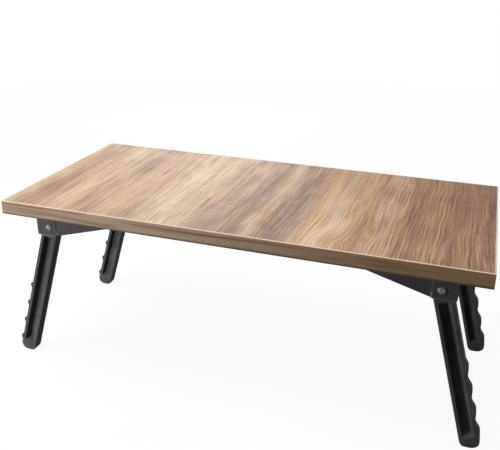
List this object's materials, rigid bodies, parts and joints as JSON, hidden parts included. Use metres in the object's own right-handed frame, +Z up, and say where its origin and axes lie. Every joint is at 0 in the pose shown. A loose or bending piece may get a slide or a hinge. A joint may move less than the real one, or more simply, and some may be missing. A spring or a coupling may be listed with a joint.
{
  "type": "folding lap table",
  "caption": "Low folding lap table: a wood-print laminated board on splayed black moulded legs that turn on steel rivets in tapered brackets and fold flat under the board.",
  "frame": {"origin": "on the surface that the feet stand on, under the middle of the board", "axes": "+X along the length of the board to its right end, +Y to its rear edge, +Z up"},
  "size_m": [0.6227, 0.3, 0.2368],
  "materials": {
    "particle_board": "raw pressed wood particles, hidden between the laminates",
    "wood_print_laminate": "satin laminate with a warm wood-grain print",
    "edge_band": "satin wood-print edge band, its long edges rounded",
    "bracket_plastic": "moulded black plastic with a fine even texture",
    "leg_plastic": "moulded black plastic, satin",
    "rivet_steel": "bright plated steel",
    "screw_steel": "zinc-plated steel"
  },
  "bodies": {
    "table_top": {"board_core": "particle_board", "top_laminate": "wood_print_laminate", "underside_laminate": "wood_print_laminate", "front_edge_band": "edge_band", "rear_edge_band": "edge_band", "left_edge_band": "edge_band", "right_edge_band": "edge_band", "front_left_bracket": "bracket_plastic", "front_right_bracket": "bracket_plastic", "rear_left_bracket": "bracket_plastic", "rear_right_bracket": "bracket_plastic", "front_left_rivet": "rivet_steel", "front_right_rivet": "rivet_steel", "rear_left_rivet": "rivet_steel", "rear_right_rivet": "rivet_steel", "front_left_screws": "screw_steel", "front_right_screws": "screw_steel", "rear_left_screws": "screw_steel", "rear_right_screws": "screw_steel"},
    "front_left_leg_body": {"front_left_leg": "leg_plastic"},
    "front_right_leg_body": {"front_right_leg": "leg_plastic"},
    "rear_left_leg_body": {"rear_left_leg": "leg_plastic"},
    "rear_right_leg_body": {"rear_right_leg": "leg_plastic"}
  },
  "joints": [
    {"name": "front_left_fold", "type": "hinge", "parent": "table_top", "child": "front_left_leg_body", "pos_m": [-0.2485, -0.113, 0.19675], "axis": [0, -1, 0], "range_deg": [0, 105.2]},
    {"name": "front_right_fold", "type": "hinge", "parent": "table_top", "child": "front_right_leg_body", "pos_m": [0.2485, -0.113, 0.19675], "axis": [0, 1, 0], "range_deg": [0, 105.2]},
    {"name": "rear_left_fold", "type": "hinge", "parent": "table_top", "child": "rear_left_leg_body", "pos_m": [-0.2485, 0.113, 0.19675], "axis": [0, -1, 0], "range_deg": [0, 105.2]},
    {"name": "rear_right_fold", "type": "hinge", "parent": "table_top", "child": "rear_right_leg_body", "pos_m": [0.2485, 0.113, 0.19675], "axis": [0, 1, 0], "range_deg": [0, 105.2]}
  ]
}
